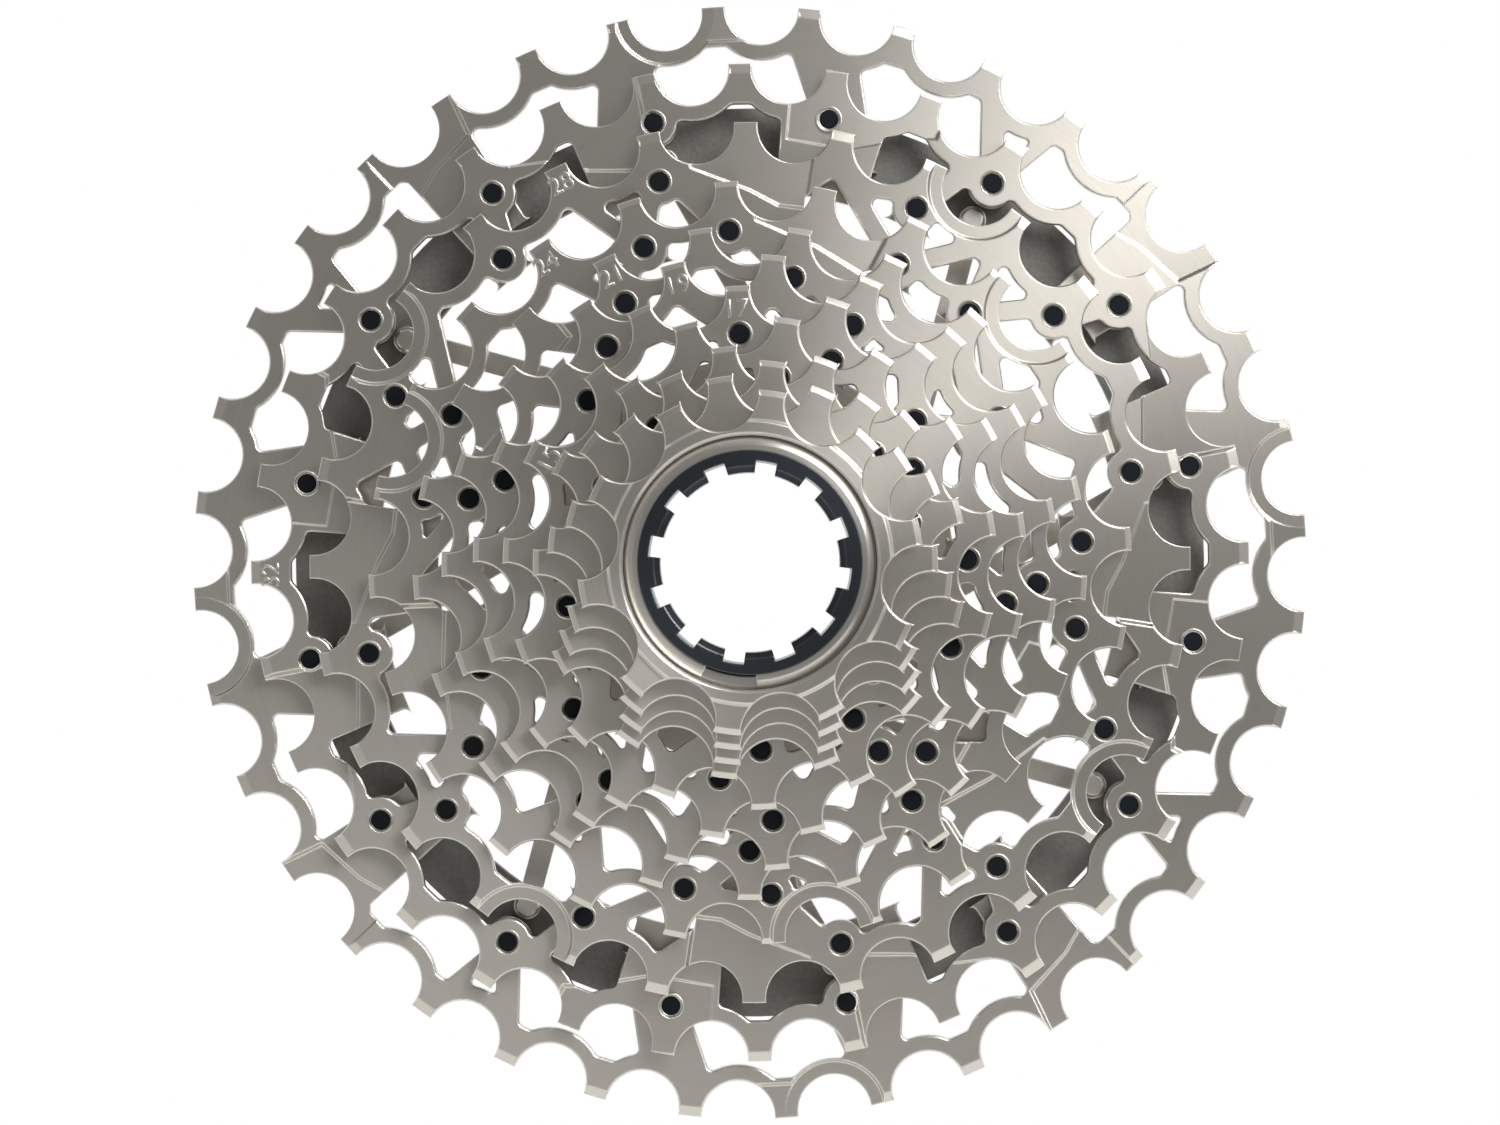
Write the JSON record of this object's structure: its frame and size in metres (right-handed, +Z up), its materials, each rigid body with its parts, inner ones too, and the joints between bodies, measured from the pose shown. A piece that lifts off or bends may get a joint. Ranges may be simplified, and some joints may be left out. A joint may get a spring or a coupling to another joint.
{
  "type": "bicycle cassette sprocket",
  "caption": "Stepped stack of pinned steel chain cogs on a dark back plate, with a lock tube turning in its centre.",
  "frame": {"origin": "on the axis, in the plane of the rear seat that rests on the hub driver", "axes": "+Y along the axis towards the hub, away from the smallest cog; +Z up"},
  "size_m": [0.1478, 0.0449, 0.1478],
  "materials": {
    "nickel_plated_steel": "satin brushed",
    "dark_pin_steel": "matte black ends",
    "black_anodised_aluminium": "satin anodised",
    "spring_steel": "satin",
    "blasted_aluminium": "blasted, dark",
    "rivet_steel": "satin",
    "silver_aluminium": "satin"
  },
  "bodies": {
    "cassette": {"cog_36t": "nickel_plated_steel", "cog_32t": "nickel_plated_steel", "cog_28t": "nickel_plated_steel", "cog_24t": "nickel_plated_steel", "cog_21t": "nickel_plated_steel", "cog_19t": "nickel_plated_steel", "cog_17t": "nickel_plated_steel", "cog_15t": "nickel_plated_steel", "small_cog_cluster": "nickel_plated_steel", "pins_32t_to_36t": "dark_pin_steel", "pins_28t_to_32t": "dark_pin_steel", "pins_24t_to_28t": "dark_pin_steel", "pins_21t_to_24t": "dark_pin_steel", "pins_19t_to_21t": "dark_pin_steel", "pins_17t_to_19t": "dark_pin_steel", "pins_15t_to_17t": "dark_pin_steel", "pins_13t_to_15t": "dark_pin_steel", "thrust_washer": "spring_steel", "back_plate": "blasted_aluminium", "plate_rivets": "rivet_steel", "spider_rivets": "rivet_steel", "spider": "silver_aluminium", "driver_sleeve": "silver_aluminium", "seat_ring": "spring_steel"},
    "lock": {"lock_tube": "black_anodised_aluminium", "retaining_ring": "spring_steel"}
  },
  "joints": [
    {"name": "lock_tube_turn", "type": "hinge", "parent": "cassette", "child": "lock", "pos_m": [0, 0, 0], "axis": [0, 1, 0], "continuous": true}
  ]
}
